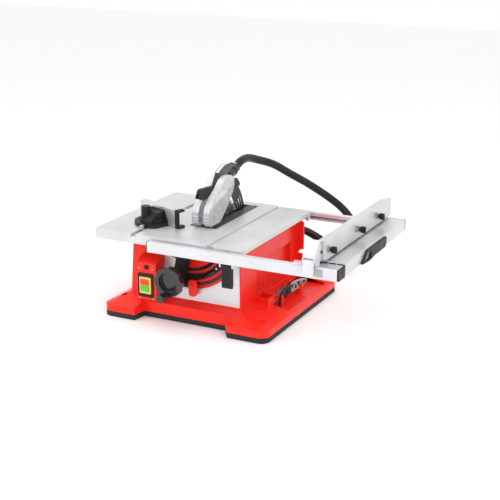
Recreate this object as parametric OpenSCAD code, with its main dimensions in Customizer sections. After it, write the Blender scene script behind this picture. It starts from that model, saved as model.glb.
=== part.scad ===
// Bench table saw with a telescoping right wing, rip fence, mitre gauge and guarded tilting blade.
// Frame: the origin is the centre of the four bench-bolt holes on the floor plane, +X points to the
// extension wing, +Y away from the operator, +Z up. Sizes are millimetres.

/* [Base and housing] */
// Width of the moulded base
base_w = 666; // [640:2:700]
// Front edge of the base
base_front = -330; // [-345:1:-325]
// Rear edge of the base
base_rear = 312; // [305:1:325]
// Height of the rubber rim under the base
rim_h = 20; // [16:1:24]
// Height of the upright band of the base
skirt_h = 44; // [38:1:48]
// Height at which the sloping deck meets the housing
deck_h = 75; // [70:1:77]
// Bench-bolt hole spacing along X
bolt_dx = 568; // [560:1:576]
// Bench-bolt hole spacing along Y
bolt_dy = 516; // [508:1:524]
// Diameter of the bench-bolt holes
bolt_d = 9; // [8:0.5:10]

/* [Table] */
// Height of the table top
table_z = 325; // [325:1:325]
// Left edge of the table
table_left = -365; // [-380:1:-350]
// Right edge of the table
table_right = 244; // [238:1:244]
// Front edge of the table
table_front = -318; // [-318:1:-318]
// Rear edge of the table
table_rear = 262; // [262:1:262]
// Depth of the table's edge flange
apron_h = 35; // [30:1:35]
// Centre of the mitre slot
slot_x = -200; // [-205:1:-195]

/* [Blade and tilt] */
// Blade diameter
blade_d = 254; // [250:1:254]
// Plane of the blade, and of the tilt axis
blade_x = -18; // [-18:1:-18]
// Depth of the arbor below the table when fully raised
arbor_drop = 45; // [45:1:46]
// Tilt of the unit's handwheel radius from straight down, in degrees
rest_lean = -11; // [-11:1:-11]
// Radius of the handwheel rim
wheel_r = 55; // [50:1:56]

/* [Extension and fence] */
// Right side of the extension wing
wing_right = 603; // [603:1:603]
// Width of the extension wing
wing_w = 93; // [93:1:93]
// Front face of the front rail
rail_front = -348; // [-348:1:-348]
// Length of the rip fence
fence_len = 622; // [600:1:622]
// Height of the fence face above the table
fence_h = 72; // [60:1:72]

/* [Mitre gauge] */
// Angle of the mitre head from square, in degrees
mitre_angle = -20; // [-25:1:-15]
// Radius of the protractor
protractor_r = 78; // [70:1:80]

/* [Hidden] */
$fn = 64;

red = "#e8352a";
black = "#232426";
silver = "#d5d7d9";
alu = "#c9ccce";
wall = 4;
side = base_w / 2;
table_t = 12;
body_front = -235;
body_rear = 300;
body_rear_z = 278;
body_top = 302;
body_left_low = -270;
body_left_high = -250;
body_right = 186;
arbor_z = table_z - arbor_drop;
lift = 80;
lean_x = blade_x + 157 * sin(rest_lean);
lean_z = table_z - 157 * cos(rest_lean);
crank_x = lean_x - 5;
crank_z = lean_z - 47;
post_x = -80;
post_ys = [-90, 125];
screw_y = -180;
pinion_y = 30;
pinion_z = arbor_z - 20;
port_z = 150;
port_end = 345;
rail_z0 = 276;
rail_z1 = 314;
rail_left = -125;
wing_left = wing_right - wing_w;
wing_front = -290;
wing_rear = 296;
wing_z0 = 279;
wing_z1 = 323;
fence_y0 = -310;
fence_y1 = fence_y0 + fence_len;
knob_ys = [-268, -5, 184];
lever_y = -356;
lever_z = 337;
mitre_y = -160;
shield_y = 10;
shield_z = 440;
adapter_root = [blade_x, 61.5, 472.8];
adapter_tail = [blade_x, 130, 495];
stick_mid = [39, -251];
knob_at = [-12, -36, 0];
hose_r = 16;

// Route of the suction hose from the dust port to the guard.
HOSE = [[-18, 345, 150], [-18, 380, 150], [0, 420, 156], [40, 445, 166], [90, 450, 176],
    [130, 435, 183], [165, 420, 180], [200, 420, 165], [235, 435, 140], [270, 465, 120],
    [292, 508, 112], [298, 556, 122], [288, 600, 150], [262, 622, 192], [226, 620, 236],
    [176, 587, 288], [113, 522, 352], [62, 446, 408], [25, 370, 458], [-5, 290, 490],
    [-18, 230, 508], [-18, 170, 508], [-18, 130, 495]];

// --- shared shapes ---
module blk(a, b) { translate(a) cube(b - a); }

// Rounded rectangle between two corners
module rsq(a, b, r) {
    translate([a.x + r, a.y]) square([b.x - a.x - 2 * r, b.y - a.y]);
    translate([a.x, a.y + r]) square([b.x - a.x, b.y - a.y - 2 * r]);
    for (x = [a.x + r, b.x - r], y = [a.y + r, b.y - r]) translate([x, y]) circle(r);
}

// Prisms: the child 2D outline lies in XY, YZ or XZ and runs between two values of the third axis
module zprism(z0, z1) { translate([0, 0, z0]) linear_extrude(z1 - z0) children(); }
module xprism(x0, x1) { translate([x0, 0, 0]) rotate([90, 0, 90]) linear_extrude(x1 - x0) children(); }
module yprism(y0, y1) { translate([0, y1, 0]) rotate([90, 0, 0]) linear_extrude(y1 - y0) children(); }

module xcyl(x0, x1, y, z, r) { translate([x0, y, z]) rotate([0, 90, 0]) cylinder(h = x1 - x0, r = r); }
module ycyl(y0, y1, x, z, r) { translate([x, y1, z]) rotate([90, 0, 0]) cylinder(h = y1 - y0, r = r); }
module zcyl(z0, z1, x, y, r) { translate([x, y, z0]) cylinder(h = z1 - z0, r = r); }

// Ring sector in the XZ plane about the tilt axis; angles run from straight down towards +X
module sector2d(r0, r1, a0, a1) {
    steps = 4;
    far = 2 * r1;
    fan = [for (i = [0:steps]) let (a = a0 + (a1 - a0) * i / steps) [far * sin(a), -far * cos(a)]];
    translate([blade_x, table_z]) intersection() {
        difference() {
            circle(r1, $fn = 128);
            if (r0 > 0) circle(r0, $fn = 128);
        }
        polygon(concat([[0, 0]], fan));
    }
}

// The same sector with rounded ends, as a milled slot
module slot2d(r, w, a0, a1) {
    sector2d(r - w / 2, r + w / 2, a0, a1);
    for (a = [a0, a1])
        translate([blade_x + r * sin(a), table_z - r * cos(a)]) circle(w / 2);
}

// Places children drawn with the tilt axis at the origin and -Z downwards at an angle from straight down
module leaned(a) { translate([blade_x, 0, table_z]) rotate([0, -a, 0]) children(); }

// --- housing ---
module base_plan(inset) {
    r = 34;
    difference() {
        rsq([-side + inset, base_front + inset], [side - inset, base_rear - inset], r - inset);
        polygon([[-198 - inset, base_front - 1], [-190 - inset, base_front + 57 + inset],
            [144 + inset, base_front + 57 + inset], [182 + inset, base_front - 1]]);
    }
}

module body_plan(inset, x_low) {
    square_corner = [x_low + inset, body_front + inset];
    translate(square_corner) square([body_right + 4 - x_low - 2 * inset, body_rear - body_front - 2 * inset]);
}

module deck(inset, z_low, z_high) {
    hull() {
        zprism(z_low, z_low + 1)
            rsq([-side + inset, base_front + inset], [side - inset, base_rear - inset], 34 - inset, $fn = 32);
        zprism(z_high - 1, z_high) body_plan(inset, body_left_low);
    }
}

module body_block(inset, top) {
    yprism(body_front + inset, body_rear - inset)
        polygon([[body_left_low + inset, rim_h], [body_right + 4 - inset, rim_h],
            [body_right - inset, top], [body_left_high + inset, top]]);
}

module housing() {
    boss_r = 15;
    seat_z = 50;
    color(red) difference() {
        union() {
            difference() {
                union() {
                    zprism(rim_h, skirt_h) base_plan(0);
                    intersection() {
                        deck(0, skirt_h - 1, deck_h);
                        zprism(0, table_z) base_plan(0);
                    }
                    body_block(0, body_top);
                    blk([body_right - 10, 236, skirt_h], [218, 244, body_rear_z]);
                }
                // inside of the base and of the housing
                zprism(rim_h - 1, skirt_h - wall) base_plan(7);
                intersection() {
                    deck(7, skirt_h - wall - 1, deck_h - wall);
                    zprism(0, table_z) base_plan(7);
                }
                body_block(wall, body_top + 1);
                // nothing stands behind the table above the rear rail
                blk([-400, 237, body_rear_z], [300, 400, 400]);
                // storage tray in the right of the deck
                blk([208, -62, skirt_h - 2], [314, 236, deck_h + 1]);
                blk([250, -104, skirt_h - 2], [314, -61, deck_h + 1]);
            }
            // tray floor
            blk([205, -66, skirt_h - 6], [317, 240, skirt_h - 2]);
            blk([246, -108, skirt_h - 6], [317, -65, skirt_h - 2]);
            // pillars that carry the table
            for (x = [-237.5, 173], y = [-221, 222]) zcyl(262, table_z - table_t - 0.2, x, y, 12);
            // recessed niche in the right wall
            blk([166, -112, deck_h], [186.5, 190, 214]);
            // bench-bolt bosses
            for (x = [-1, 1], y = [-1, 1])
                zcyl(0, seat_z + 6, x * bolt_dx / 2, y * bolt_dy / 2, boss_r);
            // posts that hold the push stick
            for (y = [-66, 96]) blk([252, y, skirt_h - 3], [272, y + 14, 84]);
            // pocket beside the wall
            blk([187, -128, deck_h - 30], [246, -68, 90]);
        }
        blk([170, -108, deck_h + 4], [191, 186, 210]);
        blk([193, -122, deck_h - 8], [240, -74, 91]);
        // slots in the posts for the push stick
        blk([258, -70, 50], [266, 114, 85]);
        for (x = [-1, 1], y = [-1, 1]) {
            zcyl(-1, seat_z + 1, x * bolt_dx / 2, y * bolt_dy / 2, bolt_d / 2);
            zcyl(seat_z, deck_h + 2, x * bolt_dx / 2, y * bolt_dy / 2, 12);
        }
        // window behind the tilt quadrant
        yprism(body_front - 1, body_front + wall + 1) sector2d(98, 200, -26, 56);
        // rear window in which the dust port swings
        yprism(body_rear - wall - 1, body_rear + 1) rsq([-56, 116], [150, 234], 12);
        // hole of the cable gland
        ycyl(body_rear - wall - 1, body_rear + 1, -200, 110, 8);
    }
}

module foot_rim() {
    color(black) zprism(0, rim_h) difference() {
        base_plan(0);
        base_plan(26);
    }
}

module label_plate() {
    color(silver) yprism(body_front - 1.2, body_front) difference() {
        rsq([-121.5, 79], [184, 300], 2);
        sector2d(0, 201, -26, 56);
    }
}

module quadrant() {
    color(red) yprism(body_front + wall, body_front + wall + 5) difference() {
        sector2d(92, 206, -28, 58);
        slot2d(130, 13, -14, 50);
        slot2d(157, 18, -15, 38);
        slot2d(185, 13, -14, 55);
    }
}

module slot_strip() {
    color(black) yprism(body_front - 2, body_front + wall) difference() {
        sector2d(146, 169, -17, 50);
        slot2d(157, 15, -14.5, 37.5);
    }
}

// Identical pan-head screws of the strip, the insert and the table joint
module panel_screws() {
    head_r = 3.5;
    color(silver) {
        for (a = [-15.6, 45])
            ycyl(body_front - 4, body_front - 2, blade_x + 157 * sin(a), table_z - 157 * cos(a), head_r);
        for (y = [-122, 208]) zcyl(table_z - 0.4, table_z + 0.8, blade_x + 30, y, head_r);
        ycyl(table_front - 2.5, table_front, 176, table_z - 6, head_r);
        for (x = [-192, -136], z = [82, 194]) ycyl(-299, -297, x, z, head_r - 1);
    }
}

// --- switch ---
module switch_box() {
    front = -297;
    color(red) difference() {
        xprism(-205, -122)
            polygon([[front, 75.3], [body_front, 75.3], [body_front, 235], [front + 14, 224], [front, 214]]);
        xprism(-201, -126)
            polygon([[front + 3, 79.3], [body_front + 1, 79.3], [body_front + 1, 230], [front + 14, 220],
                [front + 3, 211]]);
        // window of the switch and hole of the reset button
        yprism(front - 1, front + 4) rsq([-190, 96], [-140, 168], 3);
        ycyl(front - 1, front + 4, -161, 200, 8.2);
    }
}

module switch_frame() {
    color(black) {
        difference() {
            yprism(-301, -297) rsq([-197, 87], [-133, 176], 6);
            yprism(-302, -296) rsq([-189, 100], [-141, 163], 2);
        }
        // switch block behind the frame
        difference() {
            yprism(-297, -262) rsq([-189.5, 96.5], [-140.5, 167.5], 2);
            yprism(-298, -290) rsq([-187, 100], [-143, 163], 2);
            for (z = [119, 144]) ycyl(-291, -270, -167, z, 5.2);
        }
    }
}

module switch_plate() {
    color("#f2c14a") difference() {
        yprism(-303, -298) rsq([-188.7, 100.3], [-141.3, 162.7], 2);
        for (z = [119, 144]) yprism(-304, -297) rsq([-184, z - 10.5], [-150, z + 10.5], 2);
    }
}

// Push button with a stem that runs in the switch block
module push_button(z) {
    yprism(-306, -293) rsq([-183.6, z - 10.1], [-150.4, z + 10.1], 2);
    ycyl(-293, -284, -167, z, 5.15);
}
module start_button() { color("#3fbf4f") push_button(119); }
module stop_button() { color("#c93a22") push_button(144); }

module reset_button() {
    color(black) {
        ycyl(-303, -290, -161, 200, 8.12);
        ycyl(-290, -288, -161, 200, 10);
    }
}

// --- table ---
module table_main() {
    x1 = 102;
    z0 = table_z - table_t;
    zlow = table_z - apron_h;
    color(alu) difference() {
        union() {
            zprism(z0, table_z) rsq([table_left, table_front], [x1, table_rear], 12);
            zprism(zlow, z0 + 1) difference() {
                rsq([table_left, table_front], [x1, table_rear], 12);
                rsq([table_left + 10, table_front + 10], [x1 + 8, table_rear - 10], 6);
            }
            // rib of the mitre slot
            blk([slot_x - 20, table_front + 5, table_z - 22], [slot_x + 20, table_rear - 5, z0 + 1]);
            // ledge round the throat
            zprism(z0 - 4, z0 + 1) rsq([blade_x - 72, -145], [blade_x + 65, 233], 8);
            // saddles of the tilt trunnions
            for (y = [-224, 213]) difference() {
                blk([blade_x - 80, y, 252], [blade_x + 80, y + 11, z0 + 1]);
                ycyl(y - 1, y + 12, blade_x, table_z, 60.3);
            }
        }
        zprism(table_z - 10, table_z + 1) translate([slot_x - 10, table_front - 1])
            square([20, table_rear - table_front + 2]);
        zprism(table_z - 11, table_z - 7) translate([slot_x - 12.5, table_front - 1])
            square([25, table_rear - table_front + 2]);
        // seat and opening of the throat insert
        zprism(table_z - 5, table_z + 1) rsq([-75.4, -133.4], [35.4, 221.4], 8);
        zprism(z0 - 5, table_z + 1) rsq([-70, -127], [30, 215], 4);
    }
}

module table_right_section() {
    x0 = 116;
    z0 = table_z - table_t;
    color(alu) {
        difference() {
            zprism(table_z - apron_h, table_z) rsq([x0, table_front], [table_right, table_rear - 14], 10);
            zprism(table_z - apron_h - 1, z0)
                rsq([x0 - 8, table_front + 10], [table_right - 10, table_rear - 24], 6);
            // shallow flange along the right side
            blk([table_right - 11, table_front + 14, table_z - apron_h - 1],
                [table_right + 1, table_rear - 40, table_z - 15]);
        }
        // tongue that closes the groove beside the main table
        blk([102.1, table_front + 12, z0 - 3], [x0 + 1, table_rear - 30, table_z - 6]);
    }
}

module throat_insert() {
    color("#33363a") difference() {
        zprism(table_z - 5, table_z - 0.4) rsq([-75, -133], [35, 221], 8);
        zprism(table_z - 6, table_z) rsq([blade_x - 5, -128], [blade_x + 11, 212], 4);
        for (y = [-122, 208]) zcyl(table_z - 0.4, table_z + 1, blade_x + 30, y, 4);
    }
}

// Sliding shoes that carry the two rails, and the block of the extension lock
module rail_guides() {
    color(silver) {
        for (x = [-60, 196]) {
            blk([x - 14, -323.5, 285], [x + 14, table_front, 297]);
            blk([x - 14, -331, 287.3], [x + 14, -323.5, 294.7]);
            blk([x - 14, -334.5, 283], [x + 14, -331, 299]);
        }
        for (x = [-60, 80]) {
            blk([x - 14, table_rear, 289], [x + 14, 265.5, 301]);
            blk([x - 14, 265.5, 291.3], [x + 14, 273, 298.7]);
            blk([x - 14, 273, 287], [x + 14, 276.5, 303]);
        }
        // fork of the lock lever
        for (x = [146, 194]) difference() {
            blk([x, -317, 252], [x + 6, -296, table_z - apron_h]);
            xcyl(x - 1, x + 7, -306, 262, 3.05);
        }
    }
}

module cable_gland() {
    color(black) difference() {
        union() {
            ycyl(body_rear, body_rear + 6, -200, 110, 13);
            ycyl(body_rear + 6, body_rear + 26, -200, 110, 9);
            ycyl(body_rear - wall, body_rear, -200, 110, 7.9);
        }
        ycyl(body_rear - 5, body_rear + 27, -200, 110, 4);
    }
}

module extension_lock_lever() {
    color(black) {
        difference() {
            xprism(153, 193)
                polygon([[-313, 268], [-299, 268], [-299, 190], [-303, 176], [-311, 176], [-313, 190]]);
            // chamfered lower corner
            translate([193, -330, 172]) rotate([0, 45, 0]) cube([14, 40, 14], center = false);
        }
        xcyl(146.2, 199.8, -306, 262, 3);
    }
}

// --- extension ---
// Slotted box rail: outline in YZ, slot in the face that looks at the table
module rail_section(y0, y1, z0, z1, slot_at) {
    t = 2;
    lip = slot_at > 0 ? y1 : y0;
    difference() {
        rsq([y0, z0], [y1, z1], 1.5);
        rsq([y0 + t, z0 + t], [y1 - t, z1 - t], 1);
        translate([lip - 4, (z0 + z1) / 2 - 8.4]) square([8, 8.8]);
    }
}

module front_rail() {
    color(silver) xprism(rail_left, 522) rail_section(rail_front, rail_front + 24, rail_z0, rail_z1, 1);
}

module rear_rail() {
    color(silver) xprism(rail_left, wing_left) rail_section(266, 288, 284, 314, -1);
}

module corner_tube() {
    color(silver) difference() {
        xprism(522, 597) rsq([rail_front, rail_z0], [wing_front, rail_z1 + 3], 3);
        xprism(521, 598) rsq([rail_front + 3, rail_z0 + 3], [wing_front - 3, rail_z1], 1);
    }
}

module end_caps() {
    color(black) {
        xprism(597, wing_right) rsq([rail_front + 1, rail_z0 + 1], [wing_front - 1, rail_z1 + 2], 4);
        xprism(594, 597) rsq([rail_front + 3.2, rail_z0 + 3.2], [wing_front - 3.2, rail_z1 - 0.2], 1);
        yprism(wing_rear, wing_rear + 8) rsq([wing_left + 1, wing_z0 + 1], [wing_right, wing_z1 - 1], 4);
        xprism(rail_left - 3, rail_left) rsq([rail_front, rail_z0], [rail_front + 24, rail_z1], 2);
        xprism(rail_left - 3, rail_left) rsq([266, 284], [288, 314], 2);
    }
}

module wing_profile() {
    color(alu) yprism(wing_front, wing_rear) difference() {
        rsq([wing_left, wing_z0], [wing_right, wing_z1], 3);
        for (i = [0:2])
            rsq([wing_left + 3 + 30 * i, wing_z0 + 3], [wing_left + 30 + 30 * i, wing_z1 - 3], 2);
    }
}

module wing_grip() {
    color(black) xprism(wing_right, wing_right + 9) difference() {
        polygon([[-153, 280], [-102, 320], [78, 320], [80, 300], [68, 282], [-40, 281], [-64, 276],
            [-100, 276]]);
        polygon([[-137, 284], [-106, 309], [-74, 309], [-69, 300], [-76, 285], [-100, 282]]);
    }
}

// --- fence ---
module fence_head() {
    color("#e9e9ec") {
        xprism(478, 522)
            polygon([[-356, 346], [-356, 362], [-322, 398], [-310, 398], [-310, 327], [-323, 327],
                [-323, 317.4], [-349, 317.4], [-349, 346]]);
        // lugs of the lever pin
        for (x = [478, 518.5]) difference() {
            blk([x, -361, 330], [x + 3.5, -348, 348]);
            xcyl(x - 1, x + 5, lever_y, lever_z, 3.05);
        }
        // hook behind the rail
        blk([480, -323, 303], [491, -319, 328]);
        // flange that carries the scale lens
        blk([462, -352, 360], [478, -330, 366]);
        blk([474, -340, 318.5], [478, -326, 360]);
    }
}

module fence_lever() {
    color("#f1f1f4") {
        xprism(482, 518) polygon([[-362, 283], [-357, 283], [-351.5, 300], [-351.5, 341], [-362, 341]]);
        // cam pad and pin
        blk([494, -352, 300], [506, -349.2, 312]);
        xcyl(478.2, 521.8, lever_y, lever_z, 3);
    }
}

module fence_profile() {
    x0 = 500;
    x1 = 526;
    color(alu) yprism(fence_y0, fence_y1) difference() {
        union() {
            rsq([x0, table_z + 2], [x1, 383], 2);
            rsq([x0, 376], [x1 - 8, 389], 2);
        }
        rsq([x0 + 3, table_z + 5], [x1 - 9, 373], 1);
        // channel of the clamp bolts
        translate([x1 - 6, 351]) square([4, 14]);
        translate([x1 - 4, 354]) square([6, 8]);
    }
}

module fence_plate() {
    color(alu) difference() {
        yprism(fence_y0 + 8, fence_y1) difference() {
            rsq([526.5, table_z + 4], [540, table_z + fence_h], 2);
            rsq([529.5, table_z + 7], [537, 350], 1);
            rsq([529.5, 366], [537, table_z + fence_h - 4], 1);
        }
        for (y = knob_ys) xcyl(525, 541, y, 358, 3.6);
    }
}

// Wing knob: stud, hub and two wings
module fence_knob(y) {
    color(black) {
        xcyl(522, 541, y, 358, 3.5);
        xcyl(541, 550, y, 358, 8);
        difference() {
            xprism(545, 562) rsq([y - 4.5, 346], [y + 4.5, 370], 3.5);
            xcyl(553, 563, y, 358, 4.5);
        }
    }
}
module fence_knob_front() { fence_knob(knob_ys[0]); }
module fence_knob_middle() { fence_knob(knob_ys[1]); }
module fence_knob_rear() { fence_knob(knob_ys[2]); }

module scale_lens() {
    color("#dfe6ea", 0.6) {
        intersection() {
            xcyl(439, 474, -334, 308, 18);
            blk([439, -348, 315.5], [474, -321.5, 330]);
        }
    }
}

// --- mitre gauge ---
module at_mitre() { translate([slot_x, mitre_y, 0]) rotate([0, 0, mitre_angle]) children(); }

module mitre_bar() {
    color("#aeb2b6") {
        difference() {
            blk([slot_x - 9.6, -245, table_z - 9.6], [slot_x + 9.6, 60, table_z - 0.3]);
            zcyl(table_z - 10, table_z + 1, slot_x, mitre_y, 4.1);
        }
        zprism(table_z - 10.6, table_z - 9.6) translate([slot_x, 40]) circle(11.5);
    }
}

module mitre_head() {
    right_end = 62;
    color(black) at_mitre() {
        difference() {
            union() {
                zprism(table_z + 0.7, table_z + 13) intersection() {
                    circle(protractor_r, $fn = 96);
                    translate([-protractor_r, -protractor_r])
                        square([protractor_r + right_end, protractor_r + 6]);
                }
                // shoulder beside the knob
                xprism(5, 44) polygon([[-58, 337], [-58, 350], [-26, 376], [1, 380], [1, 337]]);
                zprism(table_z + 13, table_z + 26) intersection() {
                    circle(58);
                    translate([-40, -60]) square([92, 66]);
                }
                // upright behind it
                yprism(0, 7) polygon([[-78, table_z + 0.7], [right_end, table_z + 0.7], [right_end, 344],
                    [44, 382], [-30, 382], [-78, 350]]);
            }
            zprism(table_z, table_z + 12) difference() {
                intersection() {
                    circle(70);
                    translate([-80, -80]) square([160, 68]);
                }
                circle(63);
            }
            zcyl(table_z + 13, table_z + 70, knob_at.x, knob_at.y, 18);
            zcyl(table_z, table_z + 14, knob_at.x, knob_at.y, 4.1);
        }
        zcyl(table_z - 9, table_z + 0.7, 0, 0, 4);
    }
}

module mitre_knob() {
    z0 = table_z + 14;
    flutes = 12;
    color(black) at_mitre() translate(knob_at) difference() {
        union() {
            zcyl(z0, z0 + 56, 0, 0, 17);
            zcyl(table_z + 2, z0, 0, 0, 4);
        }
        for (i = [1:flutes])
            zcyl(z0 + 10, z0 + 57, 18.2 * cos(i * 360 / flutes), 18.2 * sin(i * 360 / flutes), 2.4);
    }
}

module mitre_fence() {
    color(alu) at_mitre() difference() {
        blk([-100, 7.3, table_z + 1.5], [102, 36, 392]);
        blk([-101, 11.3, table_z + 5.5], [103, 37, 388]);
    }
}

module mitre_fence_cap() {
    color(black) at_mitre() difference() {
        blk([102, 5.5, table_z + 1], [121, 38, 393.5]);
        blk([101, 13, table_z + 9], [122, 39, 385]);
    }
}

// Pointer of the gauge: a plate screwed to the bar and a thumb nut with a hole
module mitre_pointer() {
    color("#e4ebef") {
        blk([slot_x - 6, -252, table_z - 0.3], [slot_x + 6, -240, table_z + 1.5]);
        difference() {
            ycyl(-260, -247, slot_x - 2, table_z + 9, 7.8);
            ycyl(-261, -252, slot_x - 2, table_z + 9, 3.2);
        }
    }
}

// --- tilting unit ---
module tilt_carriage() {
    color(black) {
        difference() {
            union() {
                leaned(rest_lean) yprism(-262, -240) rsq([-23, -196], [23, -78], 6);
                leaned(rest_lean) yprism(-262, -246) rsq([-58, -92], [20, -78], 4);
                // foot of the bevel lock
                yprism(-246, -240) sector2d(174, 196, -8, 9);
            }
            ycyl(-263, -239, lean_x, lean_z, 7.4);
            ycyl(-250, -239, blade_x + 185 * sin(7), table_z - 185 * cos(7), 3.1);
        }
        // studs through the arc slots into the cradle
        for (r = [130, 185]) leaned(rest_lean) ycyl(-241, -212, 0, -r, 5.5);
        leaned(7) ycyl(-241, -212, 0, -185, 5.5);
    }
}

module bevel_lever() {
    x = blade_x + 185 * sin(7);
    z = table_z - 185 * cos(7);
    color(red) {
        yprism(-258, -247) rsq([x - 16, z - 40], [x + 16, z + 22], 12);
        ycyl(-264, -258, x, z, 6);
        ycyl(-247, -241, x, z, 3);
    }
}

module cradle() {
    color("#3a3d40") difference() {
        union() {
            for (y = [-224, 212]) yprism(y, y + 12) sector2d(36, 60, -55, 17);
            for (y = [-212, 204]) yprism(y, y + 8)
                polygon([[-50, 300], [-18, 300], [12, 268], [6, 140], [-34, 108], [-112, 108], [-112, 140],
                    [-84, 200]]);
            blk([-112, -212, 108], [-52, 212, 123]);
            // bearing of the lift screw
            blk([lean_x - 12, -205, 184], [lean_x + 12, -166, 196]);
        }
        ycyl(-213, -203, lean_x, lean_z, 7.3);
        for (y = post_ys) zcyl(112, 124, post_x, y, 8);
        zcyl(183, 197, lean_x, screw_y, 6.05);
        ycyl(203, 213, blade_x, port_z, 21.1);
    }
}

module guide_posts() {
    color("#b9bdc1") for (y = post_ys) zcyl(112, 306, post_x, y, 8);
}

module dust_chute() {
    color(black) difference() {
        union() {
            blk([blade_x - 24, 176, port_z - 26], [blade_x + 24, 204, port_z + 26]);
            ycyl(204, 262, blade_x, port_z, 21);
            ycyl(262, port_end, blade_x, port_z, 20);
            ycyl(port_end - 30, port_end - 24, blade_x, port_z, 22);
        }
        blk([blade_x - 21, 175, port_z - 23], [blade_x + 21, 200, port_z + 23]);
        ycyl(199, port_end + 1, blade_x, port_z, 15.5);
    }
}

module handwheel() {
    back = -316;
    web = 10;
    color(black) difference() {
        union() {
            ycyl(back - 26, back, lean_x, lean_z, wheel_r);
            ycyl(back, -264, lean_x, lean_z, 15);
        }
        ycyl(back - 27, back - web, lean_x, lean_z, 36);
        // eight finger notches round the rim
        for (i = [0:7])
            ycyl(back - 27, back + 1, lean_x + (wheel_r + 14) * cos(45 * i + 22.5),
                lean_z + (wheel_r + 14) * sin(45 * i + 22.5), 17);
        ycyl(back - web + 2, -263, lean_x, lean_z, 7);
        ycyl(back - 27, back - 4, crank_x, crank_z, 4.1);
    }
}

module crank_knob() {
    color(black) {
        ycyl(-391, -343, crank_x, crank_z, 15);
        ycyl(-343, -321, crank_x, crank_z, 4);
    }
}

// Gear outline with teeth narrowed for running clearance
function gear_points(n, m) = [for (i = [0:n - 1], k = [0:5])
    let (pitch = 360 / n, rb = [-1.15, -0.35, 0.9, 0.9, -0.35, -1.15][k],
        w = [-0.31, -0.26, -0.12, 0.12, 0.26, 0.31][k], r = n * m / 2 + rb * m)
    [r * cos(pitch * (i + w)), r * sin(pitch * (i + w))]];

module bevel_gear() {
    n = 12;
    m = 1.6;
    big = n * m / 2;
    linear_extrude(height = 5, scale = (big - 5) / big) polygon(gear_points(n, m));
}

// Shaft from the handwheel with its bevel pinion
module lift_shaft() {
    apex = 1.6 * 12 / 2;
    color("#9a9ea2") {
        ycyl(-323, screw_y - apex, lean_x, lean_z, 6.95);
        translate([lean_x, screw_y - apex, lean_z]) rotate([-90, 0, 0]) bevel_gear();
    }
}

module lift_screw() {
    apex = 1.6 * 12 / 2;
    color("#9a9ea2") {
        zcyl(lean_z + apex, 302, lean_x, screw_y, 6);
        translate([lean_x, screw_y, lean_z + apex]) rotate([180, 0, 15]) bevel_gear();
    }
}

// --- rising unit ---
module gearbox() {
    color("#5c6064") difference() {
        union() {
            xcyl(-66, -26, 0, arbor_z, 32.5);
            xcyl(-66, -26, pinion_y, pinion_z, 22);
            xprism(-74, -66) rsq([-62, 236], [102, 300], 8);
            for (y = post_ys) zcyl(228, 300, post_x, y, 14);
            blk([-90, -90, 244], [-66, -50, 290]);
            blk([-90, 90, 244], [-66, 125, 290]);
            // arm of the lift nut
            blk([-90, -194, 278], [-34, -96, 292]);
            // seat of the riving knife
            blk([-60, 18, 236], [-20, 128, 252]);
        }
        xcyl(-58, -34, 0, arbor_z, 30.2);
        xcyl(-58, -34, pinion_y, pinion_z, 13);
        xcyl(-75, -25, 0, arbor_z, 9.05);
        xcyl(-75, -57, pinion_y, pinion_z, 9);
        for (y = post_ys) zcyl(227, 301, post_x, y, 8.05);
        zcyl(277, 293, lean_x, screw_y, 6.3);
    }
}

module motor_housing() {
    r = 42;
    color("#4a4d50") difference() {
        union() {
            xcyl(-190, -74, pinion_y, pinion_z, r);
            xcyl(-196, -190, pinion_y, pinion_z, r - 6);
        }
        xcyl(-186, -78, pinion_y, pinion_z, r - 5);
        xcyl(-79, -73, pinion_y, pinion_z, 9);
        for (i = [0:7])
            xcyl(-197, -185, pinion_y + 24 * cos(45 * i), pinion_z + 24 * sin(45 * i), 5);
    }
}

module riving_knife() {
    color("#1e1f21") xprism(blade_x - 1.25, blade_x + 1.25) difference() {
        intersection() {
            translate([0, arbor_z]) difference() {
                circle(200, $fn = 128);
                circle(132, $fn = 128);
            }
            polygon([[100, 236], [160, 238], [175, 258], [205, 262], [215, 330], [205, 441], [60, 441],
                [60, 425], [104, 372], [150, 300], [118, 262]]);
        }
        // finger slots that run along the arc
        for (r = [[150, 157], [166, 173], [182, 187]])
            translate([0, arbor_z]) polygon(concat(
                [for (a = [13:3:31]) r[0] * [cos(a), sin(a)]],
                [for (a = [31:-3:13]) r[1] * [cos(a), sin(a)]]));
    }
}

// Side outline of the guard arm, from its nose to the top of the riving knife
module spine_side() {
    polygon([[-174, 441], [-160, 468], [-150, 472], [-46, 462], [-12, 488], [34, 488], [60, 466],
        [128, 452], [150, 428], [146, 417], [100, 426], [-60, 430], [-140, 427], [-146, 436], [-160, 436]]);
}

module guard_spine() {
    color(black) difference() {
        xprism(blade_x - 8, blade_x + 8) spine_side();
        // slot of the riving knife, fork of the nose and slot of the shield pin
        blk([blade_x - 1.5, 40, 400], [blade_x + 1.5, 151, 443]);
        blk([blade_x - 3, -180, 420], [blade_x + 3, -128, 458]);
        blk([blade_x - 9, shield_y - 4.1, shield_z - 4.1], [blade_x + 9, shield_y + 4.1, shield_z + 41]);
    }
}

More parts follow.
